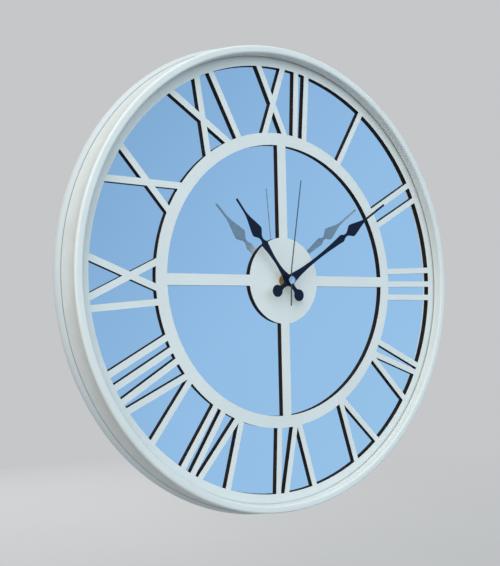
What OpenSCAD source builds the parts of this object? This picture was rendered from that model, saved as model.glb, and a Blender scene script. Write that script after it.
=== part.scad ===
// Round wall clock: a white fretwork dial lies on a mirror inside a moulded frame.
// The clock hangs upright, faces -Y and has its origin at the keyhole of its hanger, on the wall plane.

/* [Frame] */
// Radius of the dial, the mirror and the back board
disc_r = 239.5; // [234:0.5:260]
// Gap between these discs and the frame around them
disc_fit = 0.5; // [0.3:0.1:1]
// Width of the front bead
bead_w = 8.3; // [7.5:0.1:12]
// Radius of the bead's rounded edges
bead_r = 2.4; // [1:0.1:3]
// How far the bead stands out in front of the dial
bead_rise = 12; // [8:0.1:16]
// How far the bead reaches in over the dial's edge
bead_lap = 3.7; // [2:0.1:4.5]
// Radius of the hollow cove along the frame's side
cove_r = 30; // [24:0.5:60]
// Frame thickness at the crease between cove and flange
crease_w = 6; // [4:0.1:8]
// Radius of the fine groove in that crease
crease_r = 0.7; // [0.3:0.1:1.2]
// Frame thickness at the back flange
flange_w = 10; // [8.5:0.1:16]
// Radius of the rounded edge of the flange
flange_r = 6.2; // [4:0.1:8]
// Width of the bevel left at the back of the flange
flange_bevel = 1.8; // [0.5:0.1:3]

/* [Dial] */
// Thickness of the fretwork dial
dial_t = 3.2; // [2:0.1:6]
// Width of the outer ring, with the edge that lies under the bead
chapter_w = 13.5; // [8:0.5:24]
// Inner radius of the inner ring
ring_r = 144; // [120:0.5:160]
// Width of the inner ring
ring_w = 12.6; // [8:0.1:20]
// Radius of the hub
hub_r = 45.8; // [30:0.1:60]
// Width of the four spokes
spoke_w = 11.4; // [6:0.1:20]
// Width of a numeral's stroke
stroke_w = 6.5; // [4:0.1:10]

/* [Mirror and back] */
// Thickness of the mirror
mirror_t = 3; // [2:0.5:6]
// Thickness of the back board
board_t = 3; // [2:0.5:6]
// Number of retaining clips
clip_count = 8; // [4:1:12]
// Width of a clip
clip_w = 14; // [10:0.5:20]
// Length of a clip's foot on the board
clip_foot = 12; // [8:0.5:20]
// Length of a clip's leg along the frame
clip_leg = 13; // [12:0.5:15]
// Sheet thickness of a clip
clip_t = 1.2; // [0.8:0.1:2]

/* [Hanger] */
// Depth of the keyhole below the top of the back board
hang_inset = 39.5; // [34:0.5:90]
// Radius of the keyhole's round mouth
key_r = 4.5; // [4:0.1:6]
// Radius of the keyhole's slot
slot_r = 2.3; // [1.5:0.1:2.6]
// Height of the slot above the mouth
slot_h = 11; // [8:0.5:14]
// Width of the hanger plate
hanger_w = 44; // [40:1:60]
// Height of the hanger plate
hanger_h = 34; // [32:1:40]
// Thickness of the hanger plate
hanger_t = 1.5; // [1:0.1:2.5]
// Margin of the wooden block around the plate
block_margin = 4; // [2:0.5:8]

/* [Hands] */
// Length of the hour hand
hour_len = 107.5; // [95:0.5:125]
// Distance of the hour hand's spade from the centre
hour_spade = 66.3; // [55:0.5:72]
// Distance of the hour hand's tail disc from the centre
hour_tail = 21; // [15:0.5:30]
// Length of the minute hand
minute_len = 158.5; // [140:0.5:200]
// Distance of the minute hand's spade from the centre
minute_spade = 102; // [90:0.5:120]
// Distance of the minute hand's tail disc from the centre
minute_tail = 20.5; // [15:0.5:30]
// Length of the second hand
second_len = 104.5; // [90:0.5:160]
// Length of the second hand's tail
second_tail = 27; // [15:1:40]
// Angle at which the hour hand's blade leans out from the dial
hour_lean = 4.8; // [2:0.1:5]
// Angle at which the minute hand's blade leans out from the dial
minute_lean = 4; // [3.8:0.1:5]
// Angle at which the second hand's blade leans out from the dial
second_lean = 9; // [4:0.1:10]
// Sheet thickness of the hands
hand_t = 0.5; // [0.3:0.1:1]
// Radius of the cap at the centre
cap_r = 4.1; // [3:0.1:6]
// Angle of the hour hand, clockwise from twelve
hour_angle = 318.6; // [0:0.1:360]
// Angle of the minute hand, clockwise from twelve
minute_angle = 56.5; // [0:0.1:360]
// Angle of the second hand, clockwise from twelve
second_angle = 2.2; // [0:0.1:360]

/* [Movement] */
// Height of the movement's case
case_h = 56; // [55:0.5:60]
// Thickness of the case walls
case_wall = 1.4; // [1:0.1:1.6]
// Thickness of the movement's front cover
cover_t = 1.6; // [1.4:0.1:2.2]
// Diameter of the battery cell
cell_d = 14.5; // [14:0.1:15]
// Length of the battery cell over its nub
cell_len = 50.5; // [50:0.1:54]
// Tooth size of the train wheels: pitch diameter over tooth count
tooth_m = 0.3; // [0.29:0.005:0.305]
// Tooth size of the second wheel
second_m = 0.37; // [0.365:0.005:0.38]
// Tooth size of the rotor's pinion
rotor_m = 0.25; // [0.23:0.005:0.26]
// Distance from the hands' axis to the minute wheel
motion_gap = 10; // [9.6:0.1:10.2]
// Radius of the threaded bush
bush_r = 3.95; // [3.5:0.05:5]
// Length of thread standing in front of the nut
bush_proud = 1.4; // [1:0.1:6]
// Thickness of the rubber gasket behind the board
gasket_t = 0.8; // [0.5:0.1:1.5]
// Thickness of the washer under the nut
washer_t = 0.5; // [0.3:0.1:1]
// Thickness of the nut
nut_t = 2.2; // [1.5:0.1:4]
// Width of the nut across its flats
nut_af = 11; // [10.5:0.5:14]
// Gap between the movement and the wall
wall_gap = 1; // [0.5:0.1:4]

/* [Hidden] */
$fn = 96;

// Running clearance of a shaft, press clearance of a seat, free clearance of a loose hole
run_fit = 0.05;
seat_fit = 0.02;
free_fit = 0.15;
// End float between a wheel and its neighbour along the axis
float = 0.2;
// Overlap that joins two shapes of one piece, and overcut that opens a hole
weld = 0.5;

// Depths along Y, from the wall at 0 forward
cell_floor = 0.15;
cell_proud = 0.25;
case_t = cover_t + cell_floor + cell_d - cell_proud;
case_back = -wall_gap;
case_front = case_back - case_t;
board_back = case_front - gasket_t;
board_front = board_back - board_t;
mirror_front = board_front - mirror_t;
dial_front = mirror_front - dial_t;
washer_front = dial_front - washer_t;
nut_front = washer_front - nut_t;
bush_front = nut_front - bush_proud;
collet_h = 2.4;
hand_gap = 0.5;
pipe_proud = 0.5;
hour_back = bush_front - hand_gap - collet_h;
hour_front = hour_back - hand_t;
minute_collet_h = 1.3;
minute_back = hour_front - pipe_proud - hand_gap - minute_collet_h;
minute_front = minute_back - hand_t;
second_gap = 1.2;
second_back = minute_front - pipe_proud - second_gap;
second_front = second_back - hand_t;
cap_h = 1.6;
cap_dome = 1.1;
cap_over = 1;
second_tail_half = 0.7;
second_tip_half = 0.4;

// Height of the keyhole above the dial's centre, and inner radius of the dial's outer ring
hang_drop = disc_r - hang_inset;
chapter_r = disc_r - chapter_w;

// Frame section, as radius and depth
rebate_r = disc_r + disc_fit;
lip_r = disc_r - bead_lap;
bead_front = dial_front - bead_rise;
bead_y = bead_front + bead_r;
bead_in = [lip_r + bead_r, bead_y];
bead_out = [lip_r + bead_w - bead_r, bead_y];
cove_turn = 25;
cove_start = bead_out + bead_r * [cos(cove_turn), sin(cove_turn)];
flange_at = [rebate_r + flange_w - flange_r, -flange_r];
crease_at = [rebate_r + crease_w,
    flange_at[1] - sqrt(flange_r ^ 2 - (rebate_r + crease_w - flange_at[0]) ^ 2)];

// Retaining clips and their screws
clip_r = sqrt(rebate_r ^ 2 - (clip_w / 2) ^ 2) - seat_fit;
clip_screw_rise = 9;
clip_screw_y = board_back + clip_screw_rise;
clip_turn = 180 / clip_count;
clip_shank_r = 1.5;
clip_shank_len = 7;
clip_head_r = 2.8;
clip_head_t = 1.8;

// Hanger screws and block screws, places as X and Z
wood_shank_r = 1.75;
wood_head_r = 3.4;
wood_head_t = 1.5;
wood_shank_len = 12;
hanger_rise = slot_h / 2 - 1;
hole_inset = 6;
hanger_corner = 3;
hanger_holes = [for (side = [-1, 1]) [side * (hanger_w / 2 - hole_inset), hanger_rise]];
block_w = hanger_w + 2 * block_margin;
block_h = hanger_h + 2 * block_margin;
block_holes = [for (side = [-1, 1], end = [-1, 1])
    [side * (block_w / 2 - hole_inset), hanger_rise + end * (block_h / 2 - hole_inset)]];
pocket_depth = 8;

// Numerals: each letter with the places of its foot on the inner ring and its head on the outer ring,
// in millimetres clockwise from the hour's line, then the gaps between its legs at the foot and at the head
numerals = [
    [["I", 4.1, 5.1]],
    [["I", -4.9, -4.7], ["I", 13.1, 15]],
    [["I", -12.6, -15.5], ["I", 2.3, 1.4], ["I", 17.6, 17.9]],
    [["I", -9.3, -14.8], ["V", 8.8, 12.5, 5.3, 36.1]],
    [["V", -1.6, -3.7, 4.4, 39.7]],
    [["V", -13.9, -17, 6.3, 40], ["I", 10.5, 14.1]],
    [["V", -17.7, -20.2, 6, 37.3], ["I", 4.6, 8.3], ["I", 15.7, 21.7]],
    [["V", -23.3, -33.9, 7.2, 42.9], ["I", -1.5, -2.3], ["I", 11.1, 13.1], ["I", 24.3, 27.1]],
    [["I", -22.4, -28], ["X", 3.9, 1, 23.6, 37]],
    [["X", 1.3, -6.2, 26.8, 35.9]],
    [["X", -3.6, -8.3, 28.1, 35.5], ["I", 25.3, 28]],
    [["X", -8.2, -12.2, 25.5, 32.3], ["I", 19.3, 22.7], ["I", 32, 37.3]],
];

// Hand outline: half widths along a spade hand, and places measured from its spade
boss_r = 6.3;
stem_half = 1.25;
shoulder_half = 4.2;
waist_half = 1.7;
spade_half = 7;
needle_half = 1.15;
tail_r = 6.4;
neck_half = 1.9;
shoulder_back = 17.3;
waist_back = 11.5;
leaf_back = 9.5;
needle_fore = 26;
collet_wall = 1.1;
bend_r = 12;
hand_reach = 250;

// Hollow shafts of the hands
second_r = 0.5;
minute_bore = second_r + run_fit;
minute_r = 1.6;
hour_bore = minute_r + run_fit;
hour_r = 2.5;
bush_bore = hour_r + run_fit;
bush_flange_r = bush_r + 2.55;
gasket_r = 18;
washer_r = nut_af / 2 + 1.5;

// Case of the movement
contact_t = 0.4;
bay_end = 1.35;
case_w = cell_len + 2 * (case_wall + bay_end);
case_corner = 3;
rib_t = 1;
cell_fit = 0.1;
cell_y = case_front + cover_t + cell_floor + cell_d / 2;
cell_right = case_w / 2 - case_wall - contact_t - cell_fit;
nub_r = 2.7;
nub_h = 1.3;
inner_x = case_w / 2 - case_wall;

// Tooth counts: motion work, then train from the second hand both ways
cannon_n = 12;
minute_n = 36;
minute_pinion_n = 10;
hour_n = 40;
knob_n = 18;
leaf_n = 8;
third_n = 60;
centre_n = 64;
second_n = 48;
rotor_pinion_n = 10;
intermediate_n = 50;

// Tooth sizes and wheel places as X and Z from the hands' axis
motion_m = 2 * motion_gap / (cannon_n + minute_n);
hour_m = 2 * motion_gap / (minute_pinion_n + hour_n);
third_gap = tooth_m * (leaf_n + third_n) / 2;
centre_m = 2 * third_gap / (leaf_n + centre_n);
intermediate_gap = second_m * (leaf_n + second_n) / 2;
rotor_gap = rotor_m * (rotor_pinion_n + intermediate_n) / 2;
minute_dir = 180;
knob_dir = 120;
third_dir = 90;
intermediate_dir = 0;
rotor_dir = 40;
minute_at = polar(motion_gap, minute_dir);
knob_at = minute_at + polar(motion_m * (knob_n + minute_n) / 2, knob_dir);
third_at = polar(third_gap, third_dir);
intermediate_at = polar(intermediate_gap, intermediate_dir);
rotor_at = intermediate_at + polar(rotor_gap, rotor_dir);

// Tooth outline in tooth sizes, and half widths in shares of the pitch
tooth_rise = 0.7;
tooth_root = 0.95;
root_half = 0.26;
tip_half = 0.11;

// Depths inside the movement, from the inner face of its cover back
hour_level = [0.3, 1.2];
minute_level = [1.5, 2.5];
centre_level = [2.9, 3.7];
third_level = [4.4, 5.2];
second_level = [5.8, 6.6];
intermediate_level = [7.2, 8];
magnet_level = [8.4, 10.2];
stator_level = [8.8, 9.8];
bridge_level = [10.6, 11.6];
board_level = [6.4, 7.2];
knob_level = [10.8, case_t - cover_t - float];
leaf_over = 0.15;
arbor_r = 0.6;
pivot_r = 0.3;
pivot_len = 0.7;
minute_post_r = 0.8;
collar_r = 2.2;
collar_t = 0.3;
magnet_r = 2.8;
knob_r = 5.5;
knob_wall = 1;
knob_fit = 0.3;
knob_shaft_r = 1;
knob_flutes = 24;
flute_r = 0.4;

// Posts, screws, bridge and electric pieces of the movement, places as X and Z
post_r = 1.3;
screw_r = 0.7;
screw_head_r = 1.5;
screw_head_t = 0.7;
screw_len = 4;
bridge_eye_r = 2.2;
bridge_half = 1.6;
post_gap = 0.6;
third_tip = tooth_m * (third_n / 2 + tooth_rise);
intermediate_tip = rotor_m * (intermediate_n / 2 + tooth_rise);
axis_tip = max(second_m * (second_n / 2 + tooth_rise), centre_m * (centre_n / 2 + tooth_rise));
bridge_posts = [third_at + polar(third_tip + post_r + post_gap, 132),
    intermediate_at + polar(intermediate_tip + post_r + post_gap, -27),
    polar(axis_tip + post_r + post_gap, -50)];
bridge_arbors = [[0, 0], third_at, intermediate_at, rotor_at];
bridge_links = [[bridge_posts[0], third_at], [third_at, [0, 0]], [[0, 0], intermediate_at],
    [intermediate_at, rotor_at], [rotor_at, bridge_posts[1]], [[0, 0], bridge_posts[2]]];

// The battery bay lies under the bridge, and the case reaches from the bay upwards
bay_high = bridge_posts[2][1] - bridge_eye_r - float - rib_t;
bay_low = bay_high - cell_d - 2 * cell_fit;
cell_z = bay_low + cell_fit + cell_d / 2;
case_low = bay_low - case_wall;
inner_top = case_low + case_h - case_wall;

pcb_h = 8.4;
pcb_inset = 2.6;
pcb_low = [-inner_x + pcb_inset, inner_top - float - pcb_h];
pcb_high = [bridge_posts[0][0] - post_r - post_gap, inner_top - float];
pcb_posts = [pcb_low + [2, 2], pcb_high - [2, 2]];
pcb_pin_r = 0.7;
pin_rise = 0.4;
chip_r = 2.2;
chip_h = 0.9;
chip_at = [pcb_high[0] - 4, pcb_low[1] + chip_r + float];
crystal_r = 1;
crystal_len = 6;
crystal_at = [pcb_low[0] + crystal_r, pcb_high[1] - 2 * crystal_r];

// The coil lies under the case's top, between the legs of the stator around the rotor
coil_flange_r = 3.4;
coil_r = 3.1;
coil_flange_t = 0.8;
coil_gap = 1;
coil_z = inner_top - coil_gap - coil_flange_r;
core_half = 1;
air_gap = 0.6;
leg_inner = [-4.4, 4];
leg_w = 2.8;
leg_top = coil_z + coil_flange_r - rotor_at[1];
yoke_top = 5.6;
yoke_low = -5.2;
yoke_side = -2.6;
yoke_half = 3.4;
stator_outline = [[leg_inner[0] - leg_w, yoke_side], [leg_inner[0], yoke_side],
    [-yoke_half, yoke_low], [yoke_half, yoke_low], [leg_inner[1] + leg_w, yoke_side],
    [leg_inner[1] + leg_w, leg_top], [leg_inner[1], leg_top], [leg_inner[1], yoke_top],
    [leg_inner[0], yoke_top], [leg_inner[0], leg_top], [leg_inner[0] - leg_w, leg_top]];
coil_span = rotor_at[0] * [1, 1] + leg_inner;
stator_posts = [rotor_at + [leg_inner[1] + leg_w / 2, 0], [coil_span[0] - leg_w / 2, coil_z + core_half]];
strip_level = [3.4, board_level[0]];
contact_level = [strip_level[0], strip_level[1] + 5];
contact_half = 5;
tab_len = 1.8;
tab_w = 3;

function polar(r, a) = r * [cos(a), sin(a)];
function level(d) = case_front + cover_t + d;
// Turn of a second wheel whose gaps meet the teeth of a first wheel, seen in direction dir from the first
function mesh_turn(turn, n, n2, dir) = dir + 180 - (0.5 - (dir - turn) * n / 360) * 360 / n2;
function smooth(t) = t * t * (3 - 2 * t);
function chord_centre(p, q, r) =
    let (half = (q - p) / 2, rise = sqrt(r ^ 2 - half * half), out = [half[1], -half[0]] / norm(half))
    p + half + rise * out;

cannon_turn = 0;
minute_turn = mesh_turn(cannon_turn, cannon_n, minute_n, minute_dir);
minute_pinion_turn = 0;
hour_turn = mesh_turn(minute_pinion_turn, minute_pinion_n, hour_n, minute_dir + 180);
knob_turn = mesh_turn(minute_turn, minute_n, knob_n, knob_dir);
second_turn = 0;
third_turn = mesh_turn(second_turn, leaf_n, third_n, third_dir);
centre_turn = mesh_turn(0, leaf_n, centre_n, third_dir + 180);
intermediate_turn = mesh_turn(second_turn, second_n, leaf_n, intermediate_dir);
rotor_turn = mesh_turn(0, intermediate_n, rotor_pinion_n, rotor_dir);

// Half widths of a spade hand, as distance and half width from the tail disc to the tip
function hand_side(reach, spade, tail) = concat(
    [for (t = [0:0.1:1])
        [-tail * (1 - t), neck_half + (boss_r - neck_half) * t ^ 4 + (tail_r - neck_half) * (1 - t) ^ 5]],
    [for (t = [0.05:0.05:1])
        [t * (spade - shoulder_back),
            stem_half + (boss_r - stem_half) * (1 - t) ^ 4 + (shoulder_half - stem_half) * t ^ 3]],
    [for (t = [0.2:0.2:1])
        [spade - shoulder_back + t * (shoulder_back - waist_back),
            shoulder_half + (waist_half - shoulder_half) * smooth(t)]],
    [for (t = [0:0.1:1])
        [spade - leaf_back * (1 - t), waist_half + (spade_half - waist_half) * smooth(t)]],
    [for (t = [0.1:0.1:1])
        [spade + t * needle_fore, needle_half + (spade_half - needle_half) * (1 - t) ^ 2 * (1 + 1.2 * t)]],
    [[reach - needle_half, needle_half]]);

// A flat shape, X to the right and Z up, between two depths
module slab(from, to) translate([0, to, 0]) rotate([90, 0, 0]) linear_extrude(to - from) children();

// A turned shape about the Y axis, from a section of radius and depth
module turned() rotate([-90, 0, 0]) rotate_extrude() children();

module at(place) translate([place[0], 0, place[1]]) children();

module at_dial() translate([0, 0, -hang_drop]) children();

module rod(r, from, to) slab(from, to) circle(r);

module ring(outer, inner) difference() {
    circle(outer);
    circle(inner);
}

module bar(low, high) translate(low) square(high - low);

module rounded(w, h, r) {
    square([w - 2 * r, h], center = true);
    square([w, h - 2 * r], center = true);
    for (x = [-1, 1], y = [-1, 1]) translate([x * (w / 2 - r), y * (h / 2 - r)]) circle(r);
}

module gear(n, m, turn) polygon([
    for (i = [0:n - 1], p = [[-root_half, -tooth_root], [-tip_half, tooth_rise],
            [tip_half, tooth_rise], [root_half, -tooth_root]])
        polar(n * m / 2 + p[1] * m, turn + (i + p[0]) * 360 / n)]);

module toothed(n, m, turn, span) slab(level(span[0]), level(span[1])) gear(n, m, turn);

// An arbor between cover and bridge, with a thin pivot at each end
module arbor() {
    rod(arbor_r, level(float), level(bridge_level[0] - float));
    rod(pivot_r, level(-pivot_len), level(bridge_level[1] - float));
}

// A countersunk wood screw whose head lies at depth 0 and whose shank runs forward
module wood_screw() {
    rotate([90, 0, 0]) cylinder(h = wood_head_t, r1 = wood_head_r, r2 = wood_shank_r);
    rod(wood_shank_r, -wood_shank_len, -wood_head_t + seat_fit);
}

module wood_screw_hole() {
    rotate([90, 0, 0]) translate([0, 0, -seat_fit])
        cylinder(h = wood_head_t + seat_fit, r1 = wood_head_r + seat_fit, r2 = wood_shank_r + seat_fit);
    rod(wood_shank_r + seat_fit, -wood_shank_len - seat_fit, 0);
}

// A block screw stands the other way round: head in the board's front, shank running back into the block
module each_block_screw() for (hole = block_holes) at(hole)
    translate([0, board_front, 0]) mirror([0, 1, 0]) children();

module each_hanger_screw() for (hole = hanger_holes) at(hole) children();

module each_clip() for (i = [0:clip_count - 1]) rotate([0, clip_turn + i * 360 / clip_count, 0]) children();

// A rod along X at the height of the clip screws
module clip_rod(r, from, to)
    translate([from, clip_screw_y, 0]) rotate([0, 90, 0]) cylinder(r = r, h = to - from);

module frame_section() difference() {
    union() {
        translate(bead_in) circle(bead_r);
        translate(bead_out) circle(bead_r);
        bar([bead_in[0], bead_front], bead_out);
        translate(flange_at) circle(flange_r);
        polygon([[lip_r, dial_front], [lip_r, bead_y], bead_out, cove_start, crease_at,
            flange_at, [rebate_r, flange_at[1]], [rebate_r, dial_front]]);
        bar([rebate_r, flange_at[1]], [rebate_r + flange_w - flange_bevel, 0]);
    }
    intersection() {
        translate(chord_centre(cove_start, crease_at, cove_r)) circle(cove_r);
        bar([rebate_r, cove_start[1]], [rebate_r + 2 * flange_w, crease_at[1]]);
    }
    translate(crease_at) circle(crease_r);
    bar([0, dial_front], [rebate_r, weld]);
}

module bezel_frame() color("whitesmoke") at_dial() difference() {
    turned() frame_section();
    each_clip() clip_rod(clip_shank_r + seat_fit, rebate_r - weld, rebate_r + clip_shank_len + seat_fit);
}

// One straight stroke from its foot on the inner ring to its head on the outer ring
module stroke(foot, head) {
    low = ring_r + ring_w;
    lean = (head - foot) / (chapter_r - low);
    half = stroke_w / 2 * sqrt(1 + lean ^ 2);
    foot_z = low - ring_w / 2;
    head_z = chapter_r + (lip_r - chapter_r) / 2;
    foot_x = foot + lean * (foot_z - low);
    head_x = foot + lean * (head_z - low);
    polygon([[foot_x - half, foot_z], [foot_x + half, foot_z],
        [head_x + half, head_z], [head_x - half, head_z]]);
}

module letter(kind, foot, head, foot_gap, head_gap) {
    if (kind == "I") stroke(foot, head);
    if (kind == "V") for (side = [-1, 1]) stroke(foot + side * foot_gap / 2, head + side * head_gap / 2);
    if (kind == "X") for (side = [-1, 1]) stroke(foot - side * foot_gap / 2, head + side * head_gap / 2);
}

module dial_outline() difference() {
    union() {
        ring(disc_r, chapter_r);
        ring(ring_r + ring_w, ring_r);
        circle(hub_r);
        for (turn = [0, 90]) rotate(turn) square([2 * ring_r + ring_w, spoke_w], center = true);
        for (hour = [1:12]) rotate(-30 * hour) for (l = numerals[hour - 1])
            letter(l[0], l[1], l[2], l[3], l[4]);
    }
    circle(bush_r + free_fit);
}

module dial_grille() color("white") at_dial() slab(dial_front, mirror_front) dial_outline();

module mirror_disc() color("lightskyblue") at_dial() slab(mirror_front, board_front)
    ring(disc_r, bush_r + free_fit);

module back_board() color("saddlebrown") difference() {
    at_dial() slab(board_front, board_back) ring(disc_r, bush_r + free_fit);
    each_block_screw() wood_screw_hole();
}

module retaining_clips() color("silver") at_dial() each_clip() difference() {
    union() {
        translate([clip_r - clip_foot, board_back, -clip_w / 2]) cube([clip_foot, clip_t, clip_w]);
        translate([clip_r - clip_t, board_back, -clip_w / 2]) cube([clip_t, clip_leg, clip_w]);
    }
    clip_rod(clip_shank_r + free_fit, clip_r - clip_t - weld, clip_r + weld);
}

module clip_screws() color("gainsboro") at_dial() each_clip() {
    clip_rod(clip_head_r, clip_r - clip_t - clip_head_t, clip_r - clip_t);
    clip_rod(clip_shank_r, clip_r - clip_t - weld, rebate_r + clip_shank_len);
}

module hanger_block() color("burlywood") difference() {
    at([0, hanger_rise]) slab(board_back, -hanger_t) square([block_w, block_h], center = true);
    slab(-hanger_t - pocket_depth, weld) {
        circle(key_r + slot_r);
        translate([0, slot_h / 2]) square([2 * (key_r + slot_r), slot_h], center = true);
        translate([0, slot_h]) circle(key_r + slot_r);
    }
    each_block_screw() wood_screw_hole();
    each_hanger_screw() wood_screw_hole();
}

module block_screws() color("silver") each_block_screw() wood_screw();

module hanger_plate() color("lightgray") difference() {
    slab(-hanger_t, 0) difference() {
        translate([0, hanger_rise]) rounded(hanger_w, hanger_h, hanger_corner);
        circle(key_r);
        translate([-slot_r, 0]) square([2 * slot_r, slot_h]);
        translate([0, slot_h]) circle(slot_r);
    }
    each_hanger_screw() wood_screw_hole();
}

module hanger_screws() color("silver") each_hanger_screw() wood_screw();

module case_outline() translate([0, case_low + case_h / 2]) rounded(case_w, case_h, case_corner);

module movement_cover() color("dimgray") at_dial() difference() {
    union() {
        slab(case_front, level(0)) case_outline();
        for (post = bridge_posts) at(post) rod(post_r, level(-weld), level(bridge_level[0]));
        for (post = stator_posts) at(post) rod(post_r, level(-weld), level(stator_level[0]));
        for (post = pcb_posts) at(post) {
            rod(post_r, level(-weld), level(board_level[0]));
            rod(pcb_pin_r, level(-weld), level(board_level[1] + pin_rise));
        }
        at(minute_at) rod(minute_post_r, level(-weld), level(minute_level[1] + float));
    }
    rod(bush_r + seat_fit, case_front - weld, level(weld));
    for (place = [third_at, intermediate_at, rotor_at, knob_at])
        at(place) rod(pivot_r + run_fit, level(-pivot_len - float / 2), level(weld));
    for (post = bridge_posts) at(post)
        rod(screw_r + seat_fit, level(bridge_level[1] - screw_len - seat_fit), level(bridge_level[1]));
    for (post = stator_posts) at(post)
        rod(screw_r + seat_fit, level(stator_level[1] - screw_len - seat_fit), level(stator_level[1]));
}

module movement_case() color("darkslategray") at_dial() difference() {
    union() {
        difference() {
            slab(level(0), case_back) case_outline();
            slab(level(-weld), case_back - case_wall)
                bar([-inner_x, bay_high + rib_t], [inner_x, inner_top]);
            slab(level(-weld), case_back + weld) bar([-inner_x, bay_low], [inner_x, bay_high]);
        }
        at(knob_at)
            rod(knob_r + knob_fit + knob_wall, level(knob_level[0] - float - knob_wall), case_back);
    }
    at(knob_at) rod(knob_r + knob_fit, level(knob_level[0] - float), case_back + weld);
    at(knob_at) rod(knob_shaft_r + run_fit, level(0), case_back);
    for (side = [-1, 1]) slab(level(strip_level[0] - cell_fit), level(strip_level[1] + cell_fit))
        translate([side * (inner_x - contact_t), bay_high + rib_t / 2])
            square([2 * (contact_t + cell_fit), 2 * rib_t], center = true);
}

module threaded_bush() color("goldenrod") at_dial() difference() {
    union() {
        rod(bush_r, bush_front, level(0));
        rod(bush_flange_r, board_back, case_front);
    }
    rod(bush_bore, bush_front - weld, level(weld));
}

module rubber_gasket() color("black") at_dial()
    slab(board_back, case_front) ring(gasket_r, bush_flange_r + free_fit);

module dial_washer() color("gold") at_dial()
    slab(washer_front, dial_front) ring(washer_r, bush_r + free_fit);

module hex_nut() color("gold") at_dial() slab(nut_front, washer_front) difference() {
    circle(nut_af / sqrt(3), $fn = 6);
    circle(bush_r + seat_fit);
}

// A straight arm of the bridge between two places
module link(p, q) {
    side = bridge_half / norm(q - p) * [p[1] - q[1], q[0] - p[0]];
    polygon([p - side, q - side, q + side, p + side]);
}

module bridge_outline() difference() {
    union() {
        for (ends = bridge_links) link(ends[0], ends[1]);
        for (place = concat(bridge_posts, bridge_arbors)) translate(place) circle(bridge_eye_r);
    }
    for (post = bridge_posts) translate(post) circle(screw_r + free_fit);
    for (place = bridge_arbors) translate(place) circle(pivot_r + run_fit);
}

module train_bridge() color("gray") at_dial()
    slab(level(bridge_level[0]), level(bridge_level[1])) bridge_outline();

module small_screw(seat) {
    rod(screw_head_r, level(seat), level(seat + screw_head_t));
    rod(screw_r, level(seat - screw_len), level(seat + screw_head_t / 2));
}

module movement_screws() color("silver") at_dial() {
    for (post = bridge_posts) at(post) small_screw(bridge_level[1]);
    for (post = stator_posts) at(post) small_screw(stator_level[1]);
}

module circuit_board() color("darkgreen") at_dial()
    slab(level(board_level[0]), level(board_level[1])) difference() {
        bar(pcb_low, pcb_high);
        for (post = pcb_posts) translate(post) circle(pcb_pin_r + seat_fit);
    }

module clock_chip() color("black") at_dial() at(chip_at)
    rod(chip_r, level(board_level[1]), level(board_level[1] + chip_h));

module quartz_crystal() color("silver") at_dial()
    translate([crystal_at[0], level(board_level[1] + crystal_r), crystal_at[1]])
        rotate([0, 90, 0]) cylinder(r = crystal_r, h = crystal_len);

// The coil's parts lie along X in the plane of the stator
module coil_rod(r, from, to)
    translate([from, level((stator_level[0] + stator_level[1]) / 2), coil_z])
        rotate([0, 90, 0]) cylinder(r = r, h = to - from);

module core_bar(gap) slab(level(stator_level[0] - gap), level(stator_level[1] + gap))
    bar([coil_span[0], coil_z - core_half - gap], [coil_span[1], coil_z + core_half + gap]);

module drive_coil() color("chocolate") at_dial() difference() {
    union() {
        coil_rod(coil_r, coil_span[0] + float, coil_span[1] - float);
        coil_rod(coil_flange_r, coil_span[0] + float, coil_span[0] + float + coil_flange_t);
        coil_rod(coil_flange_r, coil_span[1] - float - coil_flange_t, coil_span[1] - float);
    }
    core_bar(seat_fit);
}

module coil_core() color("slategray") at_dial() core_bar(0);

module stator() color("lightslategray") at_dial()
    slab(level(stator_level[0]), level(stator_level[1])) difference() {
        translate(rotor_at) difference() {
            polygon(stator_outline);
            circle(magnet_r + air_gap);
        }
        for (post = stator_posts) translate(post) circle(screw_r + free_fit);
    }

// A contact strip runs from the bay's end wall up the side wall to the circuit board
module contact_strip() {
    slab(level(strip_level[0]), level(strip_level[1]))
        bar([inner_x - contact_t, cell_z], [inner_x, inner_top]);
    slab(level(contact_level[0]), level(contact_level[1]))
        bar([inner_x - contact_t, cell_z - contact_half], [inner_x, cell_z + contact_half]);
}

module positive_contact() color("silver") at_dial() {
    contact_strip();
    slab(level(strip_level[0]), level(strip_level[1]))
        bar([pcb_high[0] - tab_w, inner_top - contact_t], [inner_x, inner_top]);
}

// The negative strip carries a bent spring that presses on the cell's flat end
module negative_contact() color("silver") at_dial() mirror([1, 0, 0]) {
    contact_strip();
    slab(level(strip_level[1] - contact_t), level(strip_level[1]))
        bar([-pcb_low[0] - tab_len, inner_top - contact_t - tab_w], [inner_x, inner_top - contact_t]);
    bend = cell_len - cell_right + cell_fit;
    spring_x = inner_x - contact_t / 2;
    inside = contact_half - 2 * contact_t;
    slab(level(contact_level[0]), level(contact_level[1])) polygon([
        [spring_x, cell_z - contact_half], [bend, cell_z], [spring_x, cell_z + contact_half],
        [spring_x, cell_z + inside], [bend + contact_t, cell_z], [spring_x, cell_z - inside]]);
}

module hour_wheel() color("white") at_dial() difference() {
    union() {
        toothed(hour_n, hour_m, hour_turn, hour_level);
        rod(hour_r, hour_front - pipe_proud, level(hour_level[1]));
    }
    rod(hour_bore, hour_front - pipe_proud - weld, level(hour_level[1] + weld));
}

module minute_wheel() color("white") at_dial() at(minute_at) difference() {
    union() {
        toothed(minute_pinion_n, hour_m, minute_pinion_turn, [hour_level[0], minute_level[0]]);
        toothed(minute_n, motion_m, minute_turn, minute_level);
    }
    rod(minute_post_r + run_fit, level(0), level(minute_level[1] + weld));
}

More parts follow.
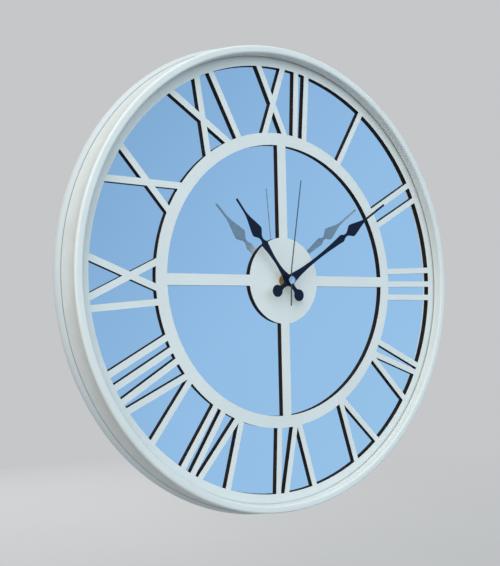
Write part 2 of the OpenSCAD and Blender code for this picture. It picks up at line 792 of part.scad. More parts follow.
module minute_arbor() color("gainsboro") at_dial() difference() {
    union() {
        rod(minute_r, minute_front - pipe_proud, level(centre_level[1] + float));
        toothed(cannon_n, motion_m, cannon_turn, minute_level + [0, float]);
        rod(collar_r, level(centre_level[1] + float), level(centre_level[1] + float + collar_t));
    }
    rod(minute_bore, minute_front - pipe_proud - weld, level(centre_level[1] + 2 * weld));
}

module centre_wheel() color("ivory") at_dial() difference() {
    toothed(centre_n, centre_m, centre_turn, centre_level);
    rod(minute_r + run_fit, level(0), level(centre_level[1] + weld));
}

module third_wheel() color("ivory") at_dial() at(third_at) {
    arbor();
    toothed(leaf_n, centre_m, 0, centre_level + [-leaf_over, leaf_over]);
    toothed(third_n, tooth_m, third_turn, third_level);
}

module second_wheel() color("ivory") at_dial() {
    rod(second_r, second_front, level(bridge_level[0] - float));
    rod(pivot_r, level(second_level[1]), level(bridge_level[1] - float));
    toothed(leaf_n, tooth_m, second_turn, third_level);
    toothed(second_n, second_m, second_turn, second_level);
}

module intermediate_wheel() color("ivory") at_dial() at(intermediate_at) {
    arbor();
    toothed(leaf_n, second_m, intermediate_turn, second_level + [-leaf_over, leaf_over]);
    toothed(intermediate_n, rotor_m, 0, intermediate_level);
}

module rotor() color("darkslateblue") at_dial() at(rotor_at) {
    arbor();
    toothed(rotor_pinion_n, rotor_m, rotor_turn, intermediate_level + [-leaf_over, leaf_over]);
    rod(magnet_r, level(magnet_level[0]), level(magnet_level[1]));
}

module setting_knob() color("black") at_dial() at(knob_at) {
    toothed(knob_n, motion_m, knob_turn, minute_level);
    rod(pivot_r, level(-pivot_len), level(minute_level[0] + weld));
    rod(knob_shaft_r, level(minute_level[0] + weld), level(knob_level[0] + weld));
    slab(level(knob_level[0]), level(knob_level[1])) difference() {
        circle(knob_r);
        for (i = [0:knob_flutes - 1]) translate(polar(knob_r, i * 360 / knob_flutes)) circle(flute_r);
    }
}

// Outline of a spade hand pointing up at twelve, with a hole for its collet
module spade_outline(reach, spade, tail, hole) difference() {
    side = hand_side(reach, spade, tail);
    union() {
        polygon(concat([for (p = side) [p[1], p[0]]],
            [for (i = [len(side) - 1:-1:0]) [-side[i][1], side[i][0]]]));
        circle(boss_r);
        translate([0, -tail]) circle(tail_r);
        translate([0, reach - needle_half]) circle(needle_half);
    }
    circle(hole);
}

// A hand of sheet metal: flat from its tail to the bend, with a blade that leans out beyond it
module bent(turn, lean, from, to) rotate([0, turn, 0]) {
    slab(from, to) intersection() {
        children();
        bar([-hand_reach, -hand_reach], [hand_reach, bend_r + hand_t]);
    }
    translate([0, to, bend_r]) rotate([lean, 0, 0]) translate([0, -to, -bend_r])
        slab(from, to) intersection() {
            children();
            bar([-hand_reach, bend_r], [hand_reach, hand_reach]);
        }
}

module collet(bore, from, to) slab(from, to) ring(bore + collet_wall, bore + seat_fit);

module hour_collet() color("gray") at_dial() collet(hour_r, hour_back, bush_front - hand_gap);

module hour_hand() color("midnightblue") at_dial()
    bent(hour_angle, hour_lean, hour_front, hour_back)
    spade_outline(hour_len, hour_spade, hour_tail, hour_r + seat_fit);

module minute_collet() color("gray") at_dial() collet(minute_r, minute_back, minute_back + minute_collet_h);

module minute_hand() color("midnightblue") at_dial()
    bent(minute_angle, minute_lean, minute_front, minute_back)
    spade_outline(minute_len, minute_spade, minute_tail, minute_r + seat_fit);

module second_hand() color("darkslategray") at_dial()
    bent(second_angle, second_lean, second_front, second_back)
    difference() {
        union() {
            polygon([[-second_tail_half, -second_tail], [second_tail_half, -second_tail],
                [second_tip_half, second_len], [-second_tip_half, second_len]]);
            circle(cap_r - cap_over);
        }
        circle(second_r + seat_fit);
    }

module hand_cap() color("silver") at_dial() intersection() {
    rod(cap_r, second_front - cap_h, second_front);
    dome_r = (cap_r ^ 2 + cap_dome ^ 2) / (2 * cap_dome);
    translate([0, second_front - cap_h + dome_r, 0]) sphere(dome_r);
}

module battery_cell() color("darkgreen") at_dial() translate([0, cell_y, cell_z]) rotate([0, 90, 0]) {
    translate([0, 0, cell_right - cell_len]) cylinder(d = cell_d, h = cell_len - nub_h);
    translate([0, 0, cell_right - nub_h - weld]) cylinder(r = nub_r, h = nub_h + weld);
}

bezel_frame();
dial_grille();
mirror_disc();
back_board();
retaining_clips();
clip_screws();
hanger_block();
block_screws();
hanger_plate();
hanger_screws();
movement_cover();
movement_case();
threaded_bush();
rubber_gasket();
dial_washer();
hex_nut();
train_bridge();
movement_screws();
circuit_board();
clock_chip();
quartz_crystal();
drive_coil();
coil_core();
stator();
positive_contact();
negative_contact();
hour_wheel();
hour_collet();
hour_hand();
minute_arbor();
minute_collet();
minute_hand();
second_wheel();
second_hand();
hand_cap();
minute_wheel();
centre_wheel();
third_wheel();
intermediate_wheel();
rotor();
setting_knob();
battery_cell();
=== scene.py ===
import math

import bmesh
import bpy
from mathutils import Matrix, Vector


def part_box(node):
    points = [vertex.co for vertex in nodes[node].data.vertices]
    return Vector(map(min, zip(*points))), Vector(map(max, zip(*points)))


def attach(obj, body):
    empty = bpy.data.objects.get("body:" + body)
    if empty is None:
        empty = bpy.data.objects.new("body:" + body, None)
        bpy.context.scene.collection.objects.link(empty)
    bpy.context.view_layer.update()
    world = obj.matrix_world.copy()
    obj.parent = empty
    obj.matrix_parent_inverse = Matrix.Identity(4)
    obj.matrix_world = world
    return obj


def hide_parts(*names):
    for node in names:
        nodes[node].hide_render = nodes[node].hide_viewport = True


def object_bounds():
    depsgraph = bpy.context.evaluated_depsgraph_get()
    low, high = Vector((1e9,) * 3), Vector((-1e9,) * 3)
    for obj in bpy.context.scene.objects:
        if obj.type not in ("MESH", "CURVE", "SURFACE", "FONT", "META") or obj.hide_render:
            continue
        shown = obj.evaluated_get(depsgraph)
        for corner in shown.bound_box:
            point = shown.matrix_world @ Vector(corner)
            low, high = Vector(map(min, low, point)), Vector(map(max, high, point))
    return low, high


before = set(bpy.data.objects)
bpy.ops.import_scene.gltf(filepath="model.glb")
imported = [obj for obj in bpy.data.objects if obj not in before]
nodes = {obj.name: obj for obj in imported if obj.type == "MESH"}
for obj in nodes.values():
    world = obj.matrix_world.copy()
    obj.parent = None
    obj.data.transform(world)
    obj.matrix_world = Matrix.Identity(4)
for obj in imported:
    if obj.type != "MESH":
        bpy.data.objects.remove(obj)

cad_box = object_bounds()
scene = bpy.context.scene
MM = 0.001
# Points closer than this are one
WELD = 1e-7
# The hands' axis runs along Y through this point
mirror_low, mirror_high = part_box("mirror_disc")
AXIS = Vector((0, 0, (mirror_low.z + mirror_high.z) / 2))


# Materials

def material(name, base, rough, metal=0.0, specular=0.5):
    """A new material, its node tree, its shader and the object coordinates that its textures use."""
    mat = bpy.data.materials.new(name)
    mat.use_nodes = True
    tree = mat.node_tree
    shader = tree.nodes["Principled BSDF"]
    shader.inputs["Base Color"].default_value = (*base, 1)
    shader.inputs["Roughness"].default_value = rough
    shader.inputs["Metallic"].default_value = metal
    shader.inputs["Specular IOR Level"].default_value = specular
    coords = tree.nodes.new("ShaderNodeTexCoord").outputs["Object"]
    return {"mat": mat, "tree": tree, "shader": shader, "coords": coords, "height": None}


def stretched(m, stretch):
    """The material's coordinates, scaled along each axis."""
    if stretch == (1, 1, 1):
        return m["coords"]
    node = m["tree"].nodes.new("ShaderNodeMapping")
    node.inputs["Scale"].default_value = stretch
    m["tree"].links.new(m["coords"], node.inputs["Vector"])
    return node.outputs["Vector"]


def noise(m, scale, detail=4, stretch=(1, 1, 1), distort=0.0):
    node = m["tree"].nodes.new("ShaderNodeTexNoise")
    node.inputs["Scale"].default_value = scale
    node.inputs["Detail"].default_value = detail
    node.inputs["Distortion"].default_value = distort
    m["tree"].links.new(stretched(m, stretch), node.inputs["Vector"])
    return node.outputs["Fac"]


def wave(m, scale, direction="X", distort=0.0, detail=2, stretch=(1, 1, 1), rings=False):
    node = m["tree"].nodes.new("ShaderNodeTexWave")
    node.wave_type = "RINGS" if rings else "BANDS"
    if rings:
        node.rings_direction = direction
    else:
        node.bands_direction = direction
    node.inputs["Scale"].default_value = scale
    node.inputs["Distortion"].default_value = distort
    node.inputs["Detail"].default_value = detail
    m["tree"].links.new(stretched(m, stretch), node.inputs["Vector"])
    return node.outputs["Fac"]


def spots(m, scale):
    """Cells, each in a grey of its own."""
    node = m["tree"].nodes.new("ShaderNodeTexVoronoi")
    node.inputs["Scale"].default_value = scale
    m["tree"].links.new(m["coords"], node.inputs["Vector"])
    grey = m["tree"].nodes.new("ShaderNodeRGBToBW")
    m["tree"].links.new(node.outputs["Color"], grey.inputs[0])
    return grey.outputs[0]


def ramp(m, fac, stops):
    """Colours by fac, from stops of place and colour."""
    node = m["tree"].nodes.new("ShaderNodeValToRGB")
    while len(node.color_ramp.elements) < len(stops):
        node.color_ramp.elements.new(0.5)
    for element, (at, colour) in zip(node.color_ramp.elements, stops):
        element.position = at
        element.color = (*colour, 1)
    m["tree"].links.new(fac, node.inputs["Fac"])
    return node.outputs["Color"]


def blend(m, a, b, fac):
    """Colour a where fac is 0 and b where it is 1; each may be a colour or an output."""
    node = m["tree"].nodes.new("ShaderNodeMix")
    node.data_type = "RGBA"
    for value, socket in ((fac, node.inputs["Factor"]), (a, node.inputs["A"]), (b, node.inputs["B"])):
        pick(m, value, socket)
    return node.outputs["Result"]


def pick(m, value, socket):
    """Links an output to a socket, or sets the socket's own value."""
    if isinstance(value, bpy.types.NodeSocket):
        m["tree"].links.new(value, socket)
    elif isinstance(value, tuple):
        socket.default_value = (*value, 1)
    else:
        socket.default_value = value


def span(m, fac, low, high, start=0.3, end=0.7):
    """Takes fac's range from start to end over to the range from low to high."""
    node = m["tree"].nodes.new("ShaderNodeMapRange")
    for name, value in (("From Min", start), ("From Max", end), ("To Min", low), ("To Max", high)):
        node.inputs[name].default_value = value
    m["tree"].links.new(fac, node.inputs["Value"])
    return node.outputs["Result"]


def colour(m, source):
    m["tree"].links.new(source, m["shader"].inputs["Base Color"])


def roughness(m, source):
    m["tree"].links.new(source, m["shader"].inputs["Roughness"])


def bump(m, height, strength, depth):
    """Adds a bump on top of those that the material has already."""
    node = m["tree"].nodes.new("ShaderNodeBump")
    node.inputs["Strength"].default_value = strength
    node.inputs["Distance"].default_value = depth
    m["tree"].links.new(height, node.inputs["Height"])
    if m["height"] is not None:
        m["tree"].links.new(m["height"], node.inputs["Normal"])
    m["tree"].links.new(node.outputs["Normal"], m["shader"].inputs["Normal"])
    m["height"] = node.outputs["Normal"]


def maths(m, operation, *values, clamp=False):
    """The output of a Math node, its values given as numbers or outputs."""
    node = m["tree"].nodes.new("ShaderNodeMath")
    node.operation = operation
    node.use_clamp = clamp
    for value, socket in zip(values, node.inputs):
        pick(m, value, socket)
    return node.outputs["Value"]


def vector_maths(m, operation, source, *other):
    """A Vector Math node on an output and, where the operation takes one, a fixed vector."""
    node = m["tree"].nodes.new("ShaderNodeVectorMath")
    node.operation = operation
    m["tree"].links.new(source, node.inputs[0])
    for value, socket in zip(other, node.inputs[1:]):
        socket.default_value = value
    return node


def axis_radius(m):
    """Distance from the hands' axis, in metres."""
    from_axis = vector_maths(m, "SUBTRACT", m["coords"], AXIS).outputs["Vector"]
    flat = vector_maths(m, "MULTIPLY", from_axis, (1, 0, 1)).outputs["Vector"]
    return vector_maths(m, "LENGTH", flat).outputs["Value"]


def shade(rgb, factor):
    """A colour made lighter or darker."""
    return tuple(min(1, c * factor) for c in rgb)


def painted(name, rgb, rough, peel=0.05):
    """Sprayed satin paint: faint clouding, uneven gloss and orange peel."""
    m = material(name, rgb, rough)
    cloud = noise(m, 14, 5)
    colour(m, ramp(m, cloud, [(0.3, shade(rgb, 0.965)), (0.5, rgb), (0.7, shade(rgb, 1.02))]))
    roughness(m, span(m, noise(m, 60, 3), rough - 0.06, rough + 0.06))
    bump(m, noise(m, 700, 2), peel, 0.0004)
    bump(m, noise(m, 3000, 2), peel * 0.6, 0.0001)
    return m


def moulded(name, rgb, rough, grain=2600):
    """Moulded plastic with a fine spark-eroded texture."""
    m = material(name, rgb, rough)
    colour(m, ramp(m, noise(m, 40, 4), [(0.3, shade(rgb, 0.88)), (0.7, shade(rgb, 1.1))]))
    roughness(m, span(m, noise(m, 150, 3), rough - 0.08, rough + 0.08))
    bump(m, noise(m, grain, 2), 0.25, 0.00012)
    return m


def metal(name, rgb, rough, brushed=None, ring=False):
    """Bare metal, with lathe rings or brush lines where it has them."""
    m = material(name, rgb, rough, 1.0)
    colour(m, ramp(m, noise(m, 220, 4), [(0.25, shade(rgb, 0.84)), (0.75, shade(rgb, 1.08))]))
    roughness(m, span(m, noise(m, 90, 4), rough - 0.08, rough + 0.1))
    if brushed:
        bump(m, noise(m, 400, 3, brushed), 0.12, 0.0001)
    if ring:
        bump(m, wave(m, 1600, "Y", 1.5, 2, rings=True), 0.08, 0.00005)
    return m


WHITE = (0.80, 0.81, 0.785)
mats = {}

mats["frame"] = painted("frame_paint", WHITE, 0.34, 0.02)["mat"]

# Hollow of the frame: its paint darkened as painted shade, with a little dust in random blotches
m = painted("cove_paint", (0.685, 0.705, 0.685), 0.42, 0.02)
patches = span(m, noise(m, 30, 5, distort=0.4), 0.0, 1.0)
dust = span(m, noise(m, 240, 4), 0.0, 0.35, 0.5, 0.75)
shaded_coat = blend(m, (0.715, 0.735, 0.72), (0.655, 0.67, 0.655), patches)
colour(m, blend(m, shaded_coat, (0.615, 0.625, 0.60), dust))
mats["cove"] = m["mat"]
# Painted shade: a dark grey band along the crease
mats["crease_shade"] = painted("crease_painted_shade", (0.36, 0.36, 0.35), 0.7, 0.05)["mat"]
# Painted shade: the flange darkened where the wall would shade it
mats["flange"] = painted("flange_paint", (0.655, 0.68, 0.685), 0.40, 0.02)["mat"]

# Back and rebate of the frame: bare fibreboard with paint mist that thins inwards
FIBRE = (0.42, 0.31, 0.20)
MIST_FROM, MIST_TO = 240.5 * MM, 248.5 * MM
m = material("frame_bare", FIBRE, 0.8)
strands = ramp(m, noise(m, 900, 5), [(0.3, (0.25, 0.17, 0.10)), (0.7, (0.50, 0.38, 0.25))])
fibre = blend(m, strands, FIBRE, 0.45)
mist = span(m, axis_radius(m), 0.0, 1.0, MIST_FROM, MIST_TO)
patchy = maths(m, "MULTIPLY_ADD", noise(m, 130, 5), 0.7, mist, clamp=True)
colour(m, blend(m, fibre, shade(WHITE, 0.93), span(m, patchy, 0.0, 1.0, 0.45, 1.0)))
bump(m, noise(m, 1400, 4), 0.35, 0.0003)
mats["frame_bare"] = m["mat"]

mats["dial"] = painted("dial_paint", WHITE, 0.44, 0.025)["mat"]

# Cut edges of the dial: scorched brown-black, with the beam's fine lines across the sheet; the same finish on the
# roof of the gap under the frame's bead is painted shade
m = material("edge_char_and_gap_shade", (0.016, 0.010, 0.008), 0.75, specular=0.15)
lines = noise(m, 420, 3, (6, 0.35, 6))
char_tones = [(0.3, (0.014, 0.009, 0.008)), (0.55, (0.038, 0.021, 0.015)), (0.8, (0.090, 0.046, 0.028))]
scorch = ramp(m, lines, char_tones)
colour(m, blend(m, scorch, (0.018, 0.011, 0.009), span(m, noise(m, 45, 3), 0.0, 0.8)))
bump(m, lines, 0.4, 0.0002)
mats["char_and_gap_shade"] = m["mat"]

# Back of the dial: unpainted fibreboard
m = material("dial_raw", (0.40, 0.29, 0.19), 0.85)
colour(m, ramp(m, noise(m, 1100, 5), [(0.3, (0.27, 0.19, 0.12)), (0.7, (0.48, 0.36, 0.24))]))
bump(m, noise(m, 1600, 3), 0.3, 0.0002)
mats["dial_raw"] = m["mat"]

# Mirror: polished silvering with the faintest wiping haze
m = material("mirror_silver", (0.90, 0.92, 0.93), 0.01, 1.0)
colour(m, ramp(m, noise(m, 6, 3), [(0.3, (0.885, 0.905, 0.915)), (0.7, (0.91, 0.93, 0.94))]))
roughness(m, span(m, noise(m, 22, 5, (1, 1, 3), 0.6), 0.004, 0.016, 0.4, 0.75))
mats["mirror"] = m["mat"]

# Back board: pressed fibre with dark and pale flecks
m = material("board_fibre", (0.27, 0.165, 0.09), 0.72)
cloud = ramp(m, noise(m, 28, 6), [(0.3, (0.23, 0.137, 0.073)), (0.7, (0.30, 0.188, 0.106))])
fleck_tones = [(0.34, (0.11, 0.06, 0.03)), (0.5, (0.28, 0.17, 0.095)), (0.7, (0.47, 0.32, 0.19))]
flecks = ramp(m, noise(m, 1500, 4, (1, 1, 0.5), 0.6), fleck_tones)
colour(m, blend(m, cloud, flecks, 0.42))
roughness(m, span(m, noise(m, 80, 4), 0.6, 0.82))
bump(m, noise(m, 1300, 5), 0.4, 0.0003)
mats["board"] = m["mat"]

# Softwood block: straight grain along X with darker summer lines
m = material("pine_wood", (0.62, 0.43, 0.23), 0.6)
ring_tones = [(0.2, (0.66, 0.47, 0.26)), (0.75, (0.56, 0.36, 0.17)), (0.95, (0.40, 0.23, 0.10))]
grain = ramp(m, wave(m, 120, "Z", 3.0, 4, (0.12, 1, 1)), ring_tones)
streaks = ramp(m, noise(m, 500, 4, (0.1, 1, 1)), [(0.3, (0.50, 0.33, 0.17)), (0.7, (0.68, 0.50, 0.29))])
colour(m, blend(m, grain, streaks, 0.4))
bump(m, noise(m, 700, 4, (0.1, 1, 1)), 0.35, 0.0003)
mats["pine"] = m["mat"]

# Zinc plate: crystal spangle and a yellowish passivation
m = material("zinc_plate", (0.56, 0.57, 0.57), 0.36, 1.0)
spangle = spots(m, 260)
colour(m, ramp(m, spangle, [(0.2, (0.46, 0.47, 0.47)), (0.6, (0.58, 0.58, 0.57)), (0.9, (0.66, 0.65, 0.60))]))
roughness(m, span(m, spangle, 0.26, 0.46, 0.2, 0.8))
bump(m, noise(m, 1200, 3), 0.08, 0.0001)
mats["zinc"] = m["mat"]

mats["brass"] = metal("turned_brass", (0.80, 0.56, 0.21), 0.24, ring=True)["mat"]
mats["collet"] = metal("turned_alloy", (0.42, 0.43, 0.45), 0.3, ring=True)["mat"]
mats["nickel"] = metal("nickel_strip", (0.66, 0.64, 0.60), 0.26, brushed=(0.1, 1, 1))["mat"]
mats["iron"] = metal("soft_iron", (0.44, 0.44, 0.46), 0.38, brushed=(1, 1, 0.1))["mat"]
mats["magnet"] = metal("sintered_magnet", (0.13, 0.13, 0.14), 0.5)["mat"]
mats["chrome"] = metal("cap_chrome", (0.88, 0.89, 0.90), 0.1)["mat"]

m = material("gasket_rubber", (0.022, 0.022, 0.022), 0.85, specular=0.2)
colour(m, ramp(m, noise(m, 300, 4), [(0.3, (0.014, 0.014, 0.014)), (0.7, (0.034, 0.034, 0.034))]))
bump(m, noise(m, 2200, 3), 0.3, 0.0002)
mats["rubber"] = m["mat"]

# Hands: satin blue-black paint in front, pale primer behind
m = painted("hand_paint", (0.0042, 0.0072, 0.027), 0.34, 0.04)
m["shader"].inputs["Specular IOR Level"].default_value = 0.22
mats["hand"] = m["mat"]
mats["hand_back"] = painted("hand_primer", (0.86, 0.83, 0.78), 0.5, 0.05)["mat"]
mats["second"] = painted("second_paint", (0.055, 0.060, 0.068), 0.36, 0.03)["mat"]

mats["case"] = moulded("case_plastic", (0.022, 0.022, 0.024), 0.5)["mat"]
mats["knob"] = moulded("knob_plastic", (0.030, 0.030, 0.033), 0.42, 3400)["mat"]
mats["acetal"] = moulded("acetal_white", (0.80, 0.79, 0.74), 0.38, 3400)["mat"]
mats["bridge"] = moulded("bridge_plastic", (0.20, 0.21, 0.23), 0.45)["mat"]
mats["resin"] = moulded("potting_resin", (0.012, 0.012, 0.012), 0.28, 900)["mat"]

# Circuit board: green mask with paler tracks
MASK = (0.018, 0.12, 0.05)
m = moulded("solder_mask", MASK, 0.34, 1500)
tracks = span(m, wave(m, 220, "X", 0.6), 0.0, 1.0, 0.7, 0.75)
colour(m, blend(m, MASK, (0.05, 0.22, 0.09), tracks))
mats["pcb"] = m["mat"]

# Coil: enamelled wire, one band per turn
m = metal("coil_wire", (0.62, 0.27, 0.11), 0.3)
bump(m, wave(m, 1500, "X"), 0.7, 0.0002)
mats["copper"] = m["mat"]

mats["sleeve"] = painted("cell_sleeve", (0.025, 0.085, 0.06), 0.24, 0.015)["mat"]
mats["band"] = painted("cell_band", (0.60, 0.61, 0.60), 0.3, 0.015)["mat"]
mats["cell_steel"] = metal("cell_steel", (0.68, 0.68, 0.67), 0.24, ring=True)["mat"]

node_mats = {
    "frame": ["bezel_frame"], "mirror": ["mirror_disc"], "board": ["back_board"], "pine": ["hanger_block"],
    "zinc": ["retaining_clips", "clip_screws", "block_screws", "hanger_plate", "hanger_screws", "movement_screws"],
    "case": ["movement_cover", "movement_case"], "brass": ["threaded_bush", "dial_washer", "hex_nut"],
    "rubber": ["rubber_gasket"], "bridge": ["train_bridge"], "pcb": ["circuit_board"], "resin": ["clock_chip"],
    "nickel": ["quartz_crystal", "positive_contact", "negative_contact"], "copper": ["drive_coil"],
    "iron": ["coil_core", "stator"], "collet": ["hour_collet", "minute_collet"],
    "acetal": ["hour_wheel", "minute_arbor", "second_wheel", "minute_wheel", "centre_wheel", "third_wheel",
               "intermediate_wheel"],
    "magnet": ["rotor"], "second": ["second_hand"], "chrome": ["hand_cap"], "knob": ["setting_knob"],
    "sleeve": ["battery_cell"], "dial": ["dial_grille"], "hand": ["hour_hand", "minute_hand"],
}
for key, names in node_mats.items():
    for name in names:
        nodes[name].data.materials.clear()
        nodes[name].data.materials.append(mats[key])


def finish_sides(name, extra, choose):
    """Gives a CAD node's faces further finishes: choose returns a face's place in the list."""
    data = nodes[name].data
    for key in extra:
        data.materials.append(mats[key])
    for face in data.polygons:
        face.material_index = choose(face)


# A face counts as front or back when its normal leans less than about 45 degrees from Y
FACING = 0.7
finish_sides("dial_grille", ["char_and_gap_shade", "dial_raw"],
             lambda f: 0 if f.normal.y < -FACING else (2 if f.normal.y > FACING else 1))
for name in ("hour_hand", "minute_hand", "second_hand"):
    finish_sides(name, ["hand_back"], lambda f: 1 if f.normal.y > FACING else 0)


# Detailed pieces

def piece(name, bm, keys, body="clock", stands_for=(), angle=35):
    """Makes a mesh piece from bm, with finishes keys in the order of its faces' material indices."""
    bmesh.ops.remove_doubles(bm, verts=bm.verts, dist=WELD)
    bmesh.ops.recalc_face_normals(bm, faces=bm.faces)
    data = bpy.data.meshes.new(name)
    bm.to_mesh(data)
    bm.free()
    for key in keys:
        data.materials.append(mats[key])
    data.shade_smooth()
    data.set_sharp_from_angle(angle=math.radians(angle))
    obj = bpy.data.objects.new(name, data)
    scene.collection.objects.link(obj)
    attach(obj, body)
    if stands_for:
        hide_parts(*stands_for)


def turned(place, r, a, h):
    """The point at radius r, angle a and height h about place's own Z axis."""
    return place @ Vector((r * math.cos(a), r * math.sin(a), h))


def skin(bm, rings, closed=True, keys=None):
    """Joins rings of as many points by faces, and the last ring to the first if closed."""
    follow = rings[1:] + rings[:1] if closed else rings[1:]
    for k, (one, two) in enumerate(zip(rings, follow)):
        for i in range(len(one)):
            j = (i + 1) % len(one)
            face = bm.faces.new((one[i], one[j], two[j], two[i]))
            face.material_index = keys[k] if keys else 0


def spin(bm, profile, place, steps=64, closed=True, keys=None):
    """Turns a profile of (radius, height along the axis) about place's own Z axis."""
    rings = [[bm.verts.new(turned(place, r, 2 * math.pi * i / steps, h)) for i in range(steps)]
             for r, h in profile]
    skin(bm, rings, closed, keys)


def along(direction, place):
    """A matrix that stands Z along direction at place."""
    return Matrix.Translation(place) @ Vector(direction).to_track_quat("Z", "Y").to_matrix().to_4x4()


def islands(name):
    """The lowest and highest corner of each loose solid in a CAD node."""
    bm = bmesh.new()
    bm.from_mesh(nodes[name].data)
    bmesh.ops.remove_doubles(bm, verts=bm.verts, dist=WELD)
    left, out = set(bm.verts), []
    while left:
        stack, group = [left.pop()], []
        while stack:
            v = stack.pop()
            group.append(v.co.copy())
            for e in v.link_edges:
                w = e.other_vert(v)
                if w in left:
                    left.remove(w)
                    stack.append(w)
        out.append((Vector(min(c[i] for c in group) for i in range(3)),
                    Vector(max(c[i] for c in group) for i in range(3))))
    bm.free()
    return sorted(out, key=lambda box: tuple(box[0]))


def cut(body, cutter):
    """The bmesh of body with cutter taken away."""
    objs = []
    for bm in (body, cutter):
        bmesh.ops.recalc_face_normals(bm, faces=bm.faces)
        data = bpy.data.meshes.new("cut")
        bm.to_mesh(data)
        bm.free()
        obj = bpy.data.objects.new("cut", data)
        scene.collection.objects.link(obj)
        objs.append(obj)
    mod = objs[0].modifiers.new("cut", "BOOLEAN")
    mod.operation = "DIFFERENCE"
    mod.solver = "EXACT"
    mod.object = objs[1]
    bpy.context.view_layer.update()
    out = bmesh.new()
    out.from_object(objs[0], bpy.context.evaluated_depsgraph_get())
    for obj in objs:
        data = obj.data
        bpy.data.objects.remove(obj)
        bpy.data.meshes.remove(data)
    return out


# Shares of a recess's reach, width and depth at its foot, and at its mouth just above the head's face
FOOT, MOUTH = (0.55, 0.4, -1.0), (1.02, 0.51, 0.1)
SCREW_STEPS = 40


def cross_recess(reach, width, depth):
    """A tapered cross that stands from -depth to just above 0 along Z."""
    bm = bmesh.new()
    rings = []
    for tip, half, h in ((reach * x, width * y, depth * z) for x, y, z in (FOOT, MOUTH)):
        corners = [Vector((tip, -half, h)), Vector((tip, half, h)), Vector((half, half, h))]
        rings.append([bm.verts.new(Matrix.Rotation(math.radians(turn), 3, "Z") @ corner)
                      for turn in (0, 90, 180, 270) for corner in corners])
    low, high = rings
    bm.faces.new(low[::-1])
    bm.faces.new(high)
    for k in range(len(low)):
        bm.faces.new((low[k - 1], low[k], high[k], high[k - 1]))
    return bm


def screw(profile, recess):
    """A screw along Z with its head's face at 0 and a cross recess in it, sizes in mm."""
    bm = bmesh.new()
    spin(bm, [(r * MM, h * MM) for r, h in profile], Matrix.Identity(4), SCREW_STEPS, closed=False)
    bmesh.ops.remove_doubles(bm, verts=bm.verts, dist=WELD)
    bmesh.ops.holes_fill(bm, edges=bm.edges, sides=0)
    bm = cut(bm, cross_recess(*(size * MM for size in recess)))
    data = bpy.data.meshes.new("screw")
    bm.to_mesh(data)
    bm.free()
    return data


def set_screws(name, data, ends):
    """One piece with a copy of a screw at each end, given as direction and place of its head's face."""
    bm = bmesh.new()
    for direction, place in ends:
        start = len(bm.verts)
        bm.from_mesh(data)
        bm.verts.ensure_lookup_table()
        bmesh.ops.transform(bm, matrix=along(direction, place), verts=bm.verts[start:])
    bpy.data.meshes.remove(data)
    piece(name + "_cross", bm, ["zinc"], stands_for=(name,), angle=30)


def arc(centre, r, start, end, steps):
    """Points of an arc in a section's plane, as radius and height, angles in degrees."""
    angles = [math.radians(start + (end - start) * i / steps) for i in range(steps + 1)]
    return [(centre[0] + r * math.cos(a), centre[1] + r * math.sin(a)) for a in angles]


def bearing(point, centre):
    """The angle in degrees at which point lies from centre."""
    return math.degrees(math.atan2(point[1] - centre[1], point[0] - centre[0]))


# Z along the hands' axis, towards the front
axle = along((0, -1, 0), AXIS)
# A turned profile that holes_fill closes ends this far from its axis
PINHOLE = 0.1 * MM

# Frame, turned from its section in mm: flange, crease, cove and bead, with a fine gap between bead and dial
dial_front = -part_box("dial_grille")[0].y / MM
REBATE, LIP, BEVEL, CREASE, FLANGE_AT = 240.0, 235.8, 248.2, 246.0, 243.8
FLANGE_R, BEAD_R, BEAD_W, BEAD_RISE, COVE_R, COVE_TURN = 6.2, 2.4, 8.3, 12.0, 30.0, 25
GAP, GAP_END, GROOVE = 1.3, 239.0, 0.45
# Degrees of painted crease shade before the crease, and degrees past the crease at which the cove's arc starts
CREASE_SHADE_TURN, COVE_PAST = 3, 1
FRAME_STEPS, ARC_STEPS, COVE_STEPS = 360, 20, 24
flange_at = (FLANGE_AT, FLANGE_R)
bead_h = dial_front + BEAD_RISE - BEAD_R
bead_in, bead_out = (LIP + BEAD_R, bead_h), (LIP + BEAD_W - BEAD_R, bead_h)
cove_from = arc(bead_out, BEAD_R, -COVE_TURN, 0, 1)[0]
crease = (CREASE, FLANGE_R + math.sqrt(FLANGE_R ** 2 - (CREASE - flange_at[0]) ** 2))
chord = (Vector(cove_from) - Vector(crease)) / 2
outward = Vector((chord.y, -chord.x)).normalized()
hollow = Vector(crease) + chord + outward * math.sqrt(COVE_R ** 2 - chord.length ** 2)
bevel_turn = -math.degrees(math.acos((BEVEL - flange_at[0]) / FLANGE_R))
crease_shade_turn = bearing(crease, flange_at) - CREASE_SHADE_TURN
cove_start, cove_end = bearing(crease, hollow) % 360 - COVE_PAST, bearing(cove_from, hollow) % 360
# The flange, the crease band, the cove and the gap's roof under the bead take darker finishes as painted shade
FRAME, BARE, GAP_SHADE, COVE_SHADE, CREASE_SHADE, FLANGE_SHADE = range(6)
parts = [
    (BARE, [(REBATE, 0.0)]),
    (FLANGE_SHADE, [(BEVEL, 0.0)] + arc(flange_at, FLANGE_R, bevel_turn, crease_shade_turn, ARC_STEPS)[:-1]),
    (CREASE_SHADE, arc(flange_at, FLANGE_R, crease_shade_turn, 0, 1)[:1] + [(crease[0] - GROOVE, crease[1])]),
    (COVE_SHADE, arc(hollow, COVE_R, cove_start, cove_end, COVE_STEPS)[:-1]),
    (FRAME, arc(bead_out, BEAD_R, -COVE_TURN, 90, ARC_STEPS) + arc(bead_in, BEAD_R, 90, 180, ARC_STEPS)),
    (GAP_SHADE, [(LIP, dial_front + GAP), (GAP_END, dial_front + GAP)]),
    (BARE, [(GAP_END, dial_front), (REBATE, dial_front)]),
]
section = [(r * MM, h * MM) for key, points in parts for r, h in points]
bm = bmesh.new()
spin(bm, section, axle, FRAME_STEPS, keys=[key for key, points in parts for point in points])
piece("frame_turned", bm, ["frame", "frame_bare", "char_and_gap_shade", "cove", "crease_shade", "flange"],
      stands_for=("bezel_frame",), angle=30)

